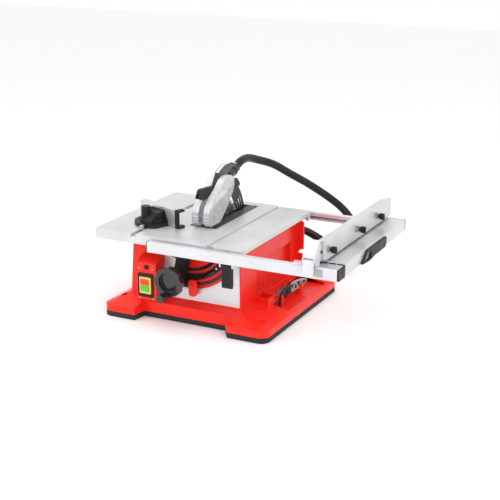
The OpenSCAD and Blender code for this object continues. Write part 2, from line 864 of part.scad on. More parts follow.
// Duct on the guard arm: a flat arm with a round spigot for the hose
module suction_adapter() {
    tail = adapter_tail - adapter_root;
    tube_l = norm(tail) - 1.4;
    pitch = atan2(tail.z, tail.y);
    color(black) difference() {
        union() {
            xprism(blade_x - 9, blade_x + 9)
                polygon([[-46, 462.6], [-14, 510], [30, 524], [80, 524], [112, 512], [112, 482], [62, 466.8],
                    [34, 488.4], [-12, 488.4]]);
            translate(adapter_root) rotate([pitch - 90, 0, 0]) {
                cylinder(h = tube_l, r = 19);
                translate([0, 0, tube_l - 34]) cylinder(h = 12, r = 21);
            }
        }
        translate(adapter_root) rotate([pitch - 90, 0, 0]) translate([0, 0, 4]) cylinder(h = tube_l, r = 14);
        // seat on the guard arm
        translate([0, 0, 0.2]) xprism(blade_x - 8.3, blade_x + 8.3) spine_side();
    }
}

module shield_pin() {
    color("#b9bdc1") {
        xcyl(blade_x - 41, blade_x + 41, shield_y, shield_z, 3.9);
    }
}

// Side outline of a shield, shrunk towards its middle by the factor k
function hood_outline(k) = [for (p = [[-136, 331], [-150, 345], [-152, 372], [-138, 402], [-104, 434],
    [-66, 456], [-32, 482], [-6, 491], [24, 490], [46, 476], [50, 448], [36, 424], [12, 398], [-24, 363],
    [-66, 331]]) [-50, 410] + k * (p - [-50, 410])];

module blade_shields() {
    t = 2.5;
    color("#c8ccd0", 0.55) for (s = [-1, 1]) translate([blade_x, 0, 0]) mirror([s < 0 ? 1 : 0, 0, 0])
        difference() {
            xprism(10, 36) polygon(hood_outline(1));
            xprism(9, 36 - t) polygon(hood_outline(0.97));
            xcyl(30, 37, shield_y, shield_z, 4.0);
        }
}

// --- blade and motor ---
module arbor_gear() {
    color("#a7abaf") {
        xcyl(-64, blade_x - 5, 0, arbor_z, 9);
        xcyl(blade_x - 5, blade_x + 20, 0, arbor_z, 7.9);
        xprism(-54, -40) translate([0, arbor_z]) difference() {
            polygon(gear_points(36, 1.5));
            circle(8.9);
        }
    }
}

module saw_blade() {
    n = 40;
    r = blade_d / 2;
    color("#b4b8bb") {
        xprism(blade_x - 0.9, blade_x + 0.9) translate([0, arbor_z]) difference() {
            polygon([for (i = [0:n - 1], k = [0:2])
                let (a = 360 / n * (i + [0, 0.12, 0.72][k]), q = [r - 9, r, r - 5][k]) q * [cos(a), sin(a)]]);
            circle(8);
            for (i = [0:3]) rotate(45 + 90 * i) translate([78, 0]) circle(5);
        }
    }
}

module blade_clamp() {
    color("#8f9397") {
        difference() {
            xcyl(blade_x - 6, blade_x - 0.9, 0, arbor_z, 25);
            xcyl(blade_x - 7, blade_x - 5, 0, arbor_z, 9);
            xcyl(blade_x - 5, blade_x, 0, arbor_z, 7.9);
        }
        difference() {
            xcyl(blade_x + 0.9, blade_x + 6, 0, arbor_z, 25);
            xcyl(blade_x, blade_x + 7, 0, arbor_z, 7.9);
        }
        difference() {
            xprism(blade_x + 6, blade_x + 15) translate([0, arbor_z]) circle(12.5, $fn = 6);
            xcyl(blade_x + 5, blade_x + 16, 0, arbor_z, 7.9);
        }
    }
}

module motor_rotor() {
    color("#8a6a3c") {
        xcyl(-184, -58, pinion_y, pinion_z, 6);
        xcyl(-160, -100, pinion_y, pinion_z, 28);
        xcyl(-182, -172, pinion_y, pinion_z, 32);
        translate([0, pinion_y, pinion_z]) xprism(-58, -40)
            rotate(mesh_phase) polygon(gear_points(12, 1.5));
    }
}

// The pinion is turned so that a gap faces the wheel's tooth on the line of centres
line_angle = atan2(pinion_z - arbor_z, pinion_y);
wheel_phase = line_angle - round(line_angle / 10) * 10;
mesh_phase = line_angle + 180 + 15 - wheel_phase * 36 / 12 * -1;

// --- hose and push stick ---
function unit(v) = v / norm(v);
function spline(p, i, t) = let (a = p[max(i - 1, 0)], b = p[i], c = p[i + 1], d = p[min(i + 2, len(p) - 1)])
    0.5 * (2 * b + (c - a) * t + (2 * a - 5 * b + 4 * c - d) * t * t + (3 * b - a - 3 * c + d) * t * t * t);

// Sweeps a round tube along a list of points, with the rings turned as little as possible
module tube(points, r, sides) {
    n = len(points);
    tangents = [for (i = [0:n - 1]) unit(points[min(i + 1, n - 1)] - points[max(i - 1, 0)])];
    function normals(i, prev) = i == n ? [] :
        let (v = unit(prev - (prev * tangents[i]) * tangents[i])) concat([v], normals(i + 1, v));
    up = normals(0, [1, 0, 0.01]);
    ring = [for (i = [0:n - 1], k = [0:sides - 1])
        let (a = 360 * k / sides) points[i] + r * (cos(a) * up[i] + sin(a) * cross(tangents[i], up[i]))];
    walls = [for (i = [0:n - 2], k = [0:sides - 1]) let (q = (k + 1) % sides)
        [i * sides + k, (i + 1) * sides + k, (i + 1) * sides + q, i * sides + q]];
    polyhedron(points = ring, faces = concat([[for (k = [0:sides - 1]) k]], walls,
        [[for (k = [sides - 1:-1:0]) (n - 1) * sides + k]]), convexity = 6);
}

module suction_hose() {
    rings = [for (i = [0:len(HOSE) - 2], t = [0, 0.5]) spline(HOSE, i, t)];
    color(black) tube(concat(rings, [HOSE[len(HOSE) - 1]]), hose_r, 12);
}

function on_arc(r, a) = r * [cos(a), sin(a)];

// Arched stick with triangular pockets between ribs, open towards +X
module push_stick() {
    r_in = 320;
    r_out = 355;
    pitch = 4.4;
    color("#55585b") difference() {
        xprism(258.4, 265.6) intersection() {
            translate(stick_mid) difference() {
                circle(r_out, $fn = 160);
                circle(r_in, $fn = 160);
            }
            polygon([[-86, 43.8], [-46, 112], [174, 112], [165, 70], [118, 57], [118, 43.8]]);
        }
        xprism(260.6, 267) translate(stick_mid) for (i = [-3:3]) {
            a = 90 - 2 * i * pitch;
            polygon([on_arc(r_in + 5, a), on_arc(r_out - 6, a + 3), on_arc(r_out - 6, a - 3)]);
            polygon([on_arc(r_out - 6, a - pitch), on_arc(r_in + 5, a - pitch + 3),
                on_arc(r_in + 5, a - pitch - 3)]);
        }
    }
}

housing();
foot_rim();
label_plate();
quadrant();
slot_strip();
panel_screws();
switch_box();
switch_frame();
switch_plate();
start_button();
stop_button();
reset_button();
table_main();
table_right_section();
throat_insert();
rail_guides();
cable_gland();
extension_lock_lever();
front_rail();
rear_rail();
corner_tube();
end_caps();
wing_profile();
wing_grip();
fence_head();
fence_lever();
fence_profile();
fence_plate();
fence_knob_front();
fence_knob_middle();
fence_knob_rear();
scale_lens();
mitre_bar();
mitre_head();
mitre_knob();
mitre_fence();
mitre_fence_cap();
mitre_pointer();
tilt_carriage();
bevel_lever();
cradle();
guide_posts();
dust_chute();
handwheel();
crank_knob();
lift_shaft();
lift_screw();
gearbox();
motor_housing();
riving_knife();
guard_spine();
suction_adapter();
shield_pin();
blade_shields();
arbor_gear();
saw_blade();
blade_clamp();
motor_rotor();
suction_hose();
push_stick();
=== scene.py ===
import math

import bmesh
import bpy
import numpy as np
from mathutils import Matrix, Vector


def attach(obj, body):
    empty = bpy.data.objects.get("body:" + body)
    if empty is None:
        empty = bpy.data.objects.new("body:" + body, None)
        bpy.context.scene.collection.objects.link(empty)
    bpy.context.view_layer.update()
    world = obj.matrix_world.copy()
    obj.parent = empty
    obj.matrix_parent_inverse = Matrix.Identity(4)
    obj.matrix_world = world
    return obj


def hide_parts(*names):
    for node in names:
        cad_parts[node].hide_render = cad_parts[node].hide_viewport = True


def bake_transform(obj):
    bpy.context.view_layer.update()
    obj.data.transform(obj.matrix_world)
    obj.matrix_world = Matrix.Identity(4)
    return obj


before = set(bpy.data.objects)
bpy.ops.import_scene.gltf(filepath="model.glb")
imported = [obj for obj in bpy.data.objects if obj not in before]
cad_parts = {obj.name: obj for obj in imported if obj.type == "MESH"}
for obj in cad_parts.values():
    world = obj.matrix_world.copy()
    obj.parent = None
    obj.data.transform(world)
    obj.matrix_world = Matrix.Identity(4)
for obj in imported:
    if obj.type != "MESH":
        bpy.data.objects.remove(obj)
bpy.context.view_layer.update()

# Camera: a long lens at standing height, some 4.3 m away, in front of and to the right of the saw.
# It looks down on the table and a little along it; the colours are shown without a film curve.
look_down, look_round = 17.58, 26.66
sight = bpy.data.cameras.new("sight")
sight.lens = 82.3
sight.sensor_width = 36
viewer = bpy.data.objects.new("viewer", sight)
viewer.location = (1.9213, -3.6142, 1.500)
viewer.rotation_euler = (math.radians(90 - look_down), 0, math.radians(look_round))
bpy.context.scene.collection.objects.link(viewer)
bpy.context.scene.camera = viewer
bpy.context.scene.view_settings.view_transform = "Standard"


# Suction hose: a smooth black rubber tube, 32 mm across, that joins the dust port behind the
# housing to the adapter on the blade guard. It is pushed on at both ends and lies in one open loop.
class Wire:
    """An output socket in a material; arithmetic on it adds Math nodes."""

    def __init__(self, finish, socket):
        self.finish = finish
        self.socket = socket

    def math(self, operation, first, second):
        return self.finish.node("ShaderNodeMath", {"operation": operation}, {0: first, 1: second})

    def __add__(self, other):
        return self.math("ADD", self, other)

    def __mul__(self, other):
        return self.math("MULTIPLY", self, other)

    def __sub__(self, other):
        return self.math("SUBTRACT", self, other)

    def __rsub__(self, other):
        return self.math("SUBTRACT", other, self)

    def __gt__(self, other):
        return self.math("GREATER_THAN", self, other)

    def __lt__(self, other):
        return self.math("LESS_THAN", self, other)

    __radd__ = __add__
    __rmul__ = __mul__


class Finish:
    """One procedural material on a Principled shader, read from Object coordinates."""

    def __init__(self, name, **fixed):
        self.material = bpy.data.materials.new(name)
        self.material.use_nodes = True
        self.tree = self.material.node_tree
        self.shader = self.tree.nodes["Principled BSDF"]
        self.place = self.node("ShaderNodeTexCoord", out="Object")
        self.feed(**fixed)

    def node(self, kind, settings=None, inputs=None, out=0):
        """Adds a node, sets its settings, then fills its sockets from values or wires."""
        made = self.tree.nodes.new(kind)
        for key, value in (settings or {}).items():
            setattr(made, key, value)
        for key, value in (inputs or {}).items():
            if isinstance(value, Wire):
                self.tree.links.new(value.socket, made.inputs[key])
            else:
                made.inputs[key].default_value = value
        return Wire(self, made.outputs[out])

    def feed(self, **sockets):
        """Sets the shader's sockets; Base_Color stands for Base Color."""
        for key, value in sockets.items():
            socket = self.shader.inputs[key.replace("_", " ")]
            if isinstance(value, Wire):
                self.tree.links.new(value.socket, socket)
            else:
                socket.default_value = value

    def spots(self, scale, stretch=(1, 1, 1), detail=3):
        """Noise from 0 to 1; stretch squeezes it along each axis."""
        where = self.node("ShaderNodeMapping", None, {"Vector": self.place, "Scale": stretch})
        return self.node("ShaderNodeTexNoise", None, {"Vector": where, "Scale": scale, "Detail": detail})

    def blend(self, share, low, high):
        """Colour from low at share 0 to high at share 1."""
        return self.node("ShaderNodeMix", {"data_type": "RGBA"}, {"Factor": share, 6: low, 7: high}, out=2)

    def step(self, value, low, high, bottom=0, top=1):
        """value from low..high mapped to bottom..top, held at the ends."""
        return self.node("ShaderNodeMapRange", None,
                         {"Value": value, "From Min": low, "From Max": high, "To Min": bottom, "To Max": top})

    def raised(self, height, distance, strength=1.0, round_off=0.0):
        """Feeds a bump of that height, in metres, to the normal; round_off softens edges by that radius."""
        inputs = {"Height": height, "Distance": distance, "Strength": strength}
        if round_off:
            inputs["Normal"] = self.node("ShaderNodeBevel", {"samples": 6}, {"Radius": round_off})
        self.feed(Normal=self.node("ShaderNodeBump", None, inputs))

    def axis(self, letter):
        """One coordinate of the surface point, in metres."""
        return self.node("ShaderNodeSeparateXYZ", None, {"Vector": self.place}, out=letter)

    def within(self, value, span):
        """1 where value lies inside the span, a pair of numbers."""
        return (value > span[0]) * (value < span[1])

    def edges(self, radius=0.002):
        """1 on sharp outer edges and corners, 0 on flat ground."""
        bevel = self.node("ShaderNodeBevel", {"samples": 4}, {"Radius": radius})
        flat = self.node("ShaderNodeNewGeometry", out="Normal")
        turn = self.node("ShaderNodeVectorMath", {"operation": "DOT_PRODUCT"}, {0: bevel, 1: flat},
                         out="Value")
        return self.step(turn, 0.98, 0.85)


def mesh_object(name, points, faces, smooth_angle=35):
    """A mesh object at the origin, smooth except across edges sharper than smooth_angle degrees."""
    mesh = bpy.data.meshes.new(name)
    mesh.from_pydata(np.asarray(points, float).tolist(), [], [list(map(int, f)) for f in faces])
    mesh.update()
    mesh.polygons.foreach_set("use_smooth", [True] * len(mesh.polygons))
    mesh.set_sharp_from_angle(angle=math.radians(smooth_angle))
    made = bpy.data.objects.new(name, mesh)
    bpy.context.scene.collection.objects.link(made)
    return made


def ring_faces(rows, columns):
    """Quads between neighbouring points of a rows by columns grid whose last column joins the first."""
    i, j = np.meshgrid(np.arange(rows - 1), np.arange(columns), indexing="ij")
    k = (j + 1) % columns
    return np.stack([i * columns + j, i * columns + k, (i + 1) * columns + k, (i + 1) * columns + j],
                    -1).reshape(-1, 4)


def smooth_path(stops, steps):
    """Catmull-Rom curve through the stops, with steps points on each span."""
    p = np.vstack([stops[:1], stops, stops[-1:]])
    t = np.linspace(0, 1, steps, endpoint=False)[:, None]
    spans = [0.5 * (2 * b + (c - a) * t + (2 * a - 5 * b + 4 * c - d) * t**2
                    + (3 * b - a - 3 * c + d) * t**3)
             for a, b, c, d in zip(p[:-3], p[1:-2], p[2:-1], p[3:])]
    return np.vstack(spans + [stops[-1:]])


def carried_frames(path):
    """Unit tangent and two normals at each point, each normal turned as little as possible from the last."""
    tangent = np.gradient(path, axis=0)
    tangent /= np.linalg.norm(tangent, axis=1)[:, None]
    normal = np.cross(tangent[0], (0.01, 0, 1))
    normals = []
    for t in tangent:
        normal = normal - normal.dot(t) * t
        normal /= np.linalg.norm(normal)
        normals.append(normal)
    normals = np.array(normals)
    return tangent, normals, np.cross(tangent, normals)


def swept_tube(name, path, radius, sides):
    """A closed round tube: point = path + r (cos a N + sin a B), with flat caps at both ends."""
    _, n, b = carried_frames(path)
    a = np.linspace(0, 2 * np.pi, sides, endpoint=False)
    ring = path[:, None] + radius * (np.cos(a)[:, None] * n[:, None] + np.sin(a)[:, None] * b[:, None])
    faces = ring_faces(len(path), sides).tolist()
    faces.append(list(range(sides))[::-1])
    faces.append([(len(path) - 1) * sides + i for i in range(sides)])
    return mesh_object(name, ring.reshape(-1, 3), faces)


# stops in millimetres, from the port to the adapter
hose_stops = np.array([
    (-18, 345, 150), (-18, 380, 150), (0, 420, 156), (40, 445, 166), (90, 450, 176),
    (130, 435, 183), (165, 420, 180), (200, 420, 165), (235, 435, 140), (270, 465, 120),
    (292, 508, 112), (298, 556, 122), (288, 600, 150), (262, 622, 192), (226, 620, 236),
    (176, 587, 288), (113, 522, 352), (62, 446, 408), (25, 370, 458), (-5, 290, 490),
    (-18, 230, 508), (-18, 170, 508), (-18, 130, 495)]) / 1000
hose_path = smooth_path(hose_stops, 8)
hose = swept_tube("hose_tube", hose_path, 0.0158, 32)
rubber = Finish("hose_black_rubber", Specular_IOR_Level=0.3)
scuffs = rubber.spots(38, (1, 1, 1), 6)
rubber.feed(Base_Color=rubber.blend(rubber.step(scuffs, 0.35, 0.75), (0.006, 0.006, 0.0065, 1),
                                    (0.014, 0.014, 0.015, 1)),
            Roughness=rubber.step(scuffs, 0.3, 0.8, 0.32, 0.46))
rubber.raised(rubber.spots(320, (1, 1, 1), 2), 0.0002, 0.5)
hose.data.materials.append(rubber.material)
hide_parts("suction_hose")
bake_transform(hose)


# Red mouldings: the housing with its deck, the switch box, the tilt quadrant and the bevel lock tab
# are injection moulded in one glossy red plastic, with rounded edges and a faint spark texture.
def eased(node, body, finish, width=0.0012, rounds=2, fold=28):
    """A copy of a CAD node whose sharp edges are rounded off by width; it stands for the node."""
    mesh = bmesh.new()
    mesh.from_mesh(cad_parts[node].data)
    bmesh.ops.remove_doubles(mesh, verts=mesh.verts, dist=1e-5)
    bmesh.ops.dissolve_limit(mesh, angle_limit=math.radians(1), verts=mesh.verts, edges=mesh.edges)
    corners = [e for e in mesh.edges if len(e.link_faces) == 2 and e.calc_face_angle(0) > math.radians(fold)]
    if width:
        bmesh.ops.bevel(mesh, geom=corners, offset=width, offset_type="OFFSET", segments=rounds, profile=0.5,
                        affect="EDGES", clamp_overlap=True)
    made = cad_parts[node].data.copy()
    made.name = node + "_eased"
    mesh.to_mesh(made)
    mesh.free()
    made.polygons.foreach_set("use_smooth", [True] * len(made.polygons))
    made.set_sharp_from_angle(angle=math.radians(fold + 8))
    made.materials.clear()
    made.materials.append(finish.material)
    piece = bpy.data.objects.new(node + "_eased", made)
    bpy.context.scene.collection.objects.link(piece)
    weighted = piece.modifiers.new("flat_faces", "WEIGHTED_NORMAL")
    weighted.keep_sharp = True
    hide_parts(node)
    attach(piece, body)
    return piece


def wear(finish, low, high, light, scale=22):
    """Base colour from low to high in soft patches, and a lighter colour on worn edges."""
    patches = finish.step(finish.spots(scale, (1, 1, 1), 5), 0.3, 0.7)
    ground = finish.blend(patches, low, high)
    worn = finish.edges() * finish.step(finish.spots(160, (1, 1, 1), 3), 0.5, 0.62) * 0.5
    return finish.blend(worn, ground, light)


red = Finish("moulded_red", Coat_Weight=0.06, Coat_Roughness=0.12, Specular_IOR_Level=0.28)
red_grain = red.spots(900, (1, 1, 1), 2)
red.feed(Base_Color=wear(red, (0.86, 0.016, 0.008, 1), (0.92, 0.022, 0.011, 1), (0.98, 0.12, 0.08, 1)),
         Roughness=red.step(red.spots(14, (1, 1, 1), 6), 0.3, 0.7, 0.26, 0.40))
red.raised(red_grain, 0.00012, 0.5, round_off=0.003)
eased("housing", "base", red, 0, fold=6)
eased("switch_box", "base", red, 0.003, 3)
eased("quadrant", "base", red, 0.001)
eased("bevel_lever", "bevel_lever", red, 0.0015, 3)


# Rubber rim: one soft black ring pressed on under the base; it stops the saw sliding and buzzing.
rim_rubber = Finish("rim_rubber", Specular_IOR_Level=0.4)
rim_dust = rim_rubber.step(rim_rubber.spots(60, (1, 1, 3), 6), 0.45, 0.8)
rim_rubber.feed(Base_Color=rim_rubber.blend(rim_dust, (0.012, 0.012, 0.013, 1), (0.032, 0.031, 0.03, 1)),
                Roughness=rim_rubber.step(rim_dust, 0, 1, 0.62, 0.85))
rim_rubber.raised(rim_rubber.spots(700, (1, 1, 1), 2), 0.0002, 0.6)
eased("foot_rim", "base", rim_rubber, 0.003, 3)


# Black mouldings: handles, caps, gauge body and guard arm, in glass-filled nylon with a fine
# spark-eroded surface; edges that hands touch are polished a little.
black = Finish("black_nylon", Specular_IOR_Level=0.32)
black.feed(Base_Color=wear(black, (0.007, 0.007, 0.008, 1), (0.013, 0.013, 0.014, 1), (0.06, 0.06, 0.06, 1)),
           Roughness=black.step(black.spots(30, (1, 1, 1), 5), 0.3, 0.7, 0.40, 0.56))
black.raised(black.spots(1100, (1, 1, 1), 2), 0.00015, 0.7)
for node, body, width in (
        ("slot_strip", "base", 0.0008), ("switch_frame", "base", 0.0012),
        ("reset_button", "reset_button", 0.001),
        ("cable_gland", "base", 0.0015), ("extension_lock_lever", "lock_lever", 0.002),
        ("end_caps", "extension", 0.0015), ("wing_grip", "extension", 0.0025),
        ("fence_knob_front", "knob_front", 0.0015), ("fence_knob_middle", "knob_middle", 0.0015),
        ("fence_knob_rear", "knob_rear", 0.0015), ("mitre_head", "mitre_head", 0.0015),
        ("mitre_fence_cap", "mitre_head", 0.0008), ("tilt_carriage", "tilt_unit", 0.002),
        ("dust_chute", "tilt_unit", 0.001), ("guard_spine", "rising_unit", 0.0012)):
    eased(node, body, black, width, 2)


# Ground aluminium: the main table and its right section are castings, ground flat on top with
# fine lines front to back; the flanges keep a duller, slightly grainy skin.
table_alu = Finish("ground_aluminium", Metallic=0.55, Specular_IOR_Level=0.5)
grind = table_alu.spots(60, (9, 0.35, 1), 4)
haze = table_alu.step(table_alu.spots(7, (1, 1, 1), 5), 0.35, 0.7)
table_alu.feed(Base_Color=table_alu.blend(haze, (0.60, 0.615, 0.61, 1), (0.69, 0.70, 0.695, 1)),
               Roughness=table_alu.step(grind, 0.3, 0.7, 0.34, 0.5) + haze * 0.06)
table_alu.raised(grind, 0.00006, 0.35)
eased("table_main", "base", table_alu, 0.0015, 3)
eased("table_right_section", "base", table_alu, 0.0015, 3)


# Drawn aluminium: rails, wing, fence and gauge plate are extrusions cut to length and screwed up;
# die lines run along them, and the anodised skin is pale and satin.
def drawn_alu(name, along, pale, dull):
    """Extruded aluminium whose die lines run along one axis (0, 1 or 2)."""
    finish = Finish(name, Metallic=0.7, Specular_IOR_Level=0.5)
    stretch = [14.0, 14.0, 14.0]
    stretch[along] = 0.12
    lines = finish.spots(40, stretch, 4)
    cloud = finish.step(finish.spots(9, (1, 1, 1), 4), 0.35, 0.7)
    finish.feed(Base_Color=finish.blend(cloud, dull, pale),
                Roughness=finish.step(lines, 0.3, 0.7, 0.26, 0.42))
    finish.raised(lines, 0.00008, 0.4)
    return finish


rail_alu = drawn_alu("rail_alu", 0, (0.72, 0.72, 0.75, 1), (0.65, 0.65, 0.68, 1))
wing_alu = drawn_alu("wing_alu", 1, (0.70, 0.71, 0.72, 1), (0.60, 0.61, 0.62, 1))
for node in ("front_rail", "rear_rail"):
    eased(node, "extension", rail_alu, 0.0006)
# the corner tube has a flat grey sleeve beside the fence stop
tube_alu = drawn_alu("tube_alu", 0, (0.72, 0.72, 0.75, 1), (0.65, 0.65, 0.68, 1))
sleeve_x, sleeve_z, sleeve_face = (0.5225, 0.547), (0.284, 0.312), -0.3474
sleeve = (tube_alu.within(tube_alu.axis("X"), sleeve_x) * tube_alu.within(tube_alu.axis("Z"), sleeve_z)
          * (tube_alu.axis("Y") < sleeve_face))
grey_grain = tube_alu.blend(tube_alu.spots(300), (0.34, 0.34, 0.35, 1), (0.44, 0.44, 0.45, 1))
tube_alu.feed(Base_Color=tube_alu.blend(sleeve, (0.68, 0.68, 0.71, 1), grey_grain))
eased("corner_tube", "extension", tube_alu, 0.0006)
for node, body in (("wing_profile", "extension"), ("fence_profile", "fence"), ("fence_plate", "fence_face"),
                   ("mitre_fence", "mitre_head")):
    eased(node, body, wing_alu, 0.0006)

# a thin plate closes the front end of the sliding fence face
plate_x, plate_y, plate_z = (0.5268, 0.5398), (-0.3036, -0.3021), (0.3295, 0.3967)
corners = [(x, y, z) for x in plate_x for y in plate_y for z in plate_z]
sides = [(0, 1, 3, 2), (4, 6, 7, 5), (0, 4, 5, 1), (2, 3, 7, 6), (0, 2, 6, 4), (1, 5, 7, 3)]
end_plate = mesh_object("fence_end_plate", corners, sides)
end_plate.data.materials.append(wing_alu.material)
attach(end_plate, "fence_face")


# Painted castings: the fence head and its cam lever are die cast, with rounded edges from the
# mould, and painted silver white; the paint wears grey on the edges that hands and rails touch.
cast_white = Finish("silver_white_paint", Metallic=0.15, Coat_Weight=0.3, Coat_Roughness=0.2)
cast_white.feed(Base_Color=wear(cast_white, (0.66, 0.66, 0.69, 1), (0.73, 0.73, 0.75, 1), (0.5, 0.5, 0.5, 1)),
                Roughness=cast_white.step(cast_white.spots(25, (1, 1, 1), 4), 0.3, 0.7, 0.3, 0.42))
cast_white.raised(cast_white.spots(500, (1, 1, 1), 2), 0.0001, 0.5)
eased("fence_head", "fence", cast_white, 0.0025, 3)
eased("fence_lever", "fence_lever", cast_white, 0.0015, 2)


# Silver panel: thin aluminium sheet behind the handwheel, printed with a plain tilt scale of
# short black ticks every degree and longer ones every five, round the tilt axis.
blade_plane, table_top = -0.018, 0.325
scale_span, fine_reach, coarse_reach = (-16, 50), (0.2015, 0.2065), (0.2015, 0.2105)
plate = Finish("silver_panel", Metallic=0.6)
across = plate.axis("X") - blade_plane
down = table_top - plate.axis("Z")
lean = across.math("ARCTAN2", across, down) * (180 / math.pi)
reach = plate.node("ShaderNodeVectorMath", {"operation": "LENGTH"},
                   {0: plate.node("ShaderNodeCombineXYZ", None, {"X": across, "Y": down})}, out="Value")


def wrap_ticks(value, every, wide):
    """1 where value is within wide / 2 of a multiple of every."""
    near = value.finish.node("ShaderNodeMath", {"operation": "PINGPONG"}, {0: value, 1: every / 2})
    return near < wide / 2


in_arc = plate.within(lean, scale_span)
fine = wrap_ticks(lean, 1, 0.28) * plate.within(reach, fine_reach)
coarse = wrap_ticks(lean, 5, 0.34) * plate.within(reach, coarse_reach)
print_on = in_arc * fine.math("MAXIMUM", fine, coarse)
sheen = plate.step(plate.spots(50, (0.2, 1, 9), 4), 0.3, 0.7)
plate.feed(Base_Color=plate.blend(print_on, plate.blend(sheen, (0.66, 0.67, 0.68, 1), (0.74, 0.75, 0.76, 1)),
                                  (0.30, 0.30, 0.30, 1)),
           Roughness=plate.step(sheen, 0, 1, 0.32, 0.44))
plate.raised(sheen, 0.00004, 0.3)
eased("label_plate", "base", plate, 0.0003)


# Bright steel: screws, rail shoes, gauge bar, guide posts and shafts are turned or cut from drawn
# bar and zinc plated; the plating is bright, with faint cloudy stains.
zinc = Finish("zinc_plate", Metallic=1.0)
zinc_stain = zinc.step(zinc.spots(45, (1, 1, 1), 5), 0.3, 0.7)
zinc.feed(Base_Color=zinc.blend(zinc_stain, (0.52, 0.53, 0.54, 1), (0.70, 0.71, 0.72, 1)),
          Roughness=zinc.step(zinc_stain, 0, 1, 0.18, 0.34))
zinc.raised(zinc.spots(300, (1, 1, 6), 3), 0.00005, 0.4)
for node, body, width in (
        ("panel_screws", "base", 0.0006), ("rail_guides", "base", 0.0008),
        ("mitre_bar", "mitre_slide", 0.0006), ("mitre_pointer", "mitre_slide", 0.0008),
        ("guide_posts", "tilt_unit", 0.001), ("lift_shaft", "handwheel", 0.0003),
        ("lift_screw", "lift_screw", 0.0003), ("shield_pin", "shield_carrier", 0.0006),
        ("arbor_gear", "blade", 0.0002), ("blade_clamp", "blade", 0.0005)):
    eased(node, body, zinc, width)


# Switch face: a yellow moulded plate is clipped into the black frame and carries a green start
# button and a red stop button; all three are glossy plastic.
def shiny_plastic(name, deep, light):
    """Glossy coloured plastic with faint handling marks."""
    finish = Finish(name, Coat_Weight=0.3, Coat_Roughness=0.08)
    marks = finish.step(finish.spots(120, (1, 1, 1), 4), 0.3, 0.7)
    finish.feed(Base_Color=finish.blend(marks, deep, light), Roughness=finish.step(marks, 0, 1, 0.22, 0.38))
    finish.raised(finish.spots(800, (1, 1, 1), 2), 0.00008, 0.4)
    return finish


yellow = shiny_plastic("switch_yellow", (0.90, 0.50, 0.05, 1), (0.95, 0.58, 0.08, 1))
green = shiny_plastic("button_green", (0.03, 0.50, 0.04, 1), (0.05, 0.60, 0.06, 1))
stop_red = shiny_plastic("button_red", (0.65, 0.03, 0.01, 1), (0.75, 0.05, 0.02, 1))
eased("switch_plate", "base", yellow, 0.0006)
eased("start_button", "start_button", green, 0.0015, 3)
eased("stop_button", "stop_button", stop_red, 0.0015, 3)


# Dark castings: gearbox, cradle and motor shell are raw aluminium castings under the table, oily
# and dull. The rotor inside the motor is wound with lacquered copper wire.
casting = Finish("dark_casting", Metallic=0.8)
oil = casting.step(casting.spots(18, (1, 1, 1), 6), 0.35, 0.7)
casting.feed(Base_Color=casting.blend(oil, (0.10, 0.10, 0.105, 1), (0.2, 0.2, 0.21, 1)),
             Roughness=casting.step(oil, 0, 1, 0.42, 0.65))
casting.raised(casting.spots(260, (1, 1, 1), 4), 0.0003, 0.6)
eased("gearbox", "rising_unit", casting, 0.0015)
eased("cradle", "tilt_unit", casting, 0.0015)
eased("motor_housing", "rising_unit", casting, 0.0015)

wire_pitch = 0.0016
copper = Finish("rotor_winding", Metallic=0.9)
turns = wrap_ticks(copper.axis("X"), wire_pitch, wire_pitch / 2)
copper.feed(Base_Color=copper.blend(turns, (0.25, 0.10, 0.04, 1), (0.55, 0.26, 0.10, 1)),
            Roughness=copper.step(copper.spots(90), 0.3, 0.7, 0.3, 0.5))
copper.raised(turns, 0.0003, 0.5)
eased("motor_rotor", "rotor", copper, 0.0004)


# Blade, riving knife and insert: ground steel disc with turning marks, black-oxide knife, and a
# dark anodised insert plate let into the table.
arbor_height = 0.280
blade_steel = Finish("ground_blade", Metallic=1.0)
from_arbor = blade_steel.node("ShaderNodeVectorMath", {"operation": "SUBTRACT"},
                              {0: blade_steel.place, 1: (blade_plane, 0, arbor_height)})
rings = blade_steel.node("ShaderNodeTexWave", {"wave_type": "RINGS", "rings_direction": "X"},
                         {"Vector": from_arbor, "Scale": 160, "Distortion": 1.5, "Detail": 3})
# the ground steel is coloured dark: painted shade for the dark hood and insert the blade reflects
blade_steel.feed(Base_Color=blade_steel.blend(rings, (0.16, 0.165, 0.17, 1), (0.24, 0.245, 0.25, 1)),
                 Roughness=blade_steel.step(rings, 0, 1, 0.22, 0.36))
blade_steel.raised(rings, 0.00003, 0.3)
eased("saw_blade", "blade", blade_steel, 0.0002)

oxide = Finish("black_oxide", Metallic=0.5)
oxide_patch = oxide.step(oxide.spots(35, (1, 1, 1), 5), 0.3, 0.7)
oxide.feed(Base_Color=oxide.blend(oxide_patch, (0.012, 0.012, 0.013, 1), (0.03, 0.03, 0.032, 1)),
           Roughness=oxide.step(oxide_patch, 0, 1, 0.3, 0.48))
oxide.raised(oxide.spots(240, (1, 1, 1), 3), 0.00008, 0.5)
eased("riving_knife", "rising_unit", oxide, 0.0004)

insert_alu = Finish("insert_anodised", Metallic=0.5)
insert_grain = insert_alu.spots(60, (10, 0.4, 1), 4)
insert_alu.feed(Base_Color=insert_alu.blend(insert_alu.step(insert_alu.spots(14), 0.3, 0.7),
                                            (0.035, 0.037, 0.04, 1), (0.075, 0.078, 0.082, 1)),
                Roughness=insert_alu.step(insert_grain, 0.3, 0.7, 0.35, 0.5))
insert_alu.raised(insert_grain, 0.00006, 0.4)
eased("throat_insert", "base", insert_alu, 0.0008)


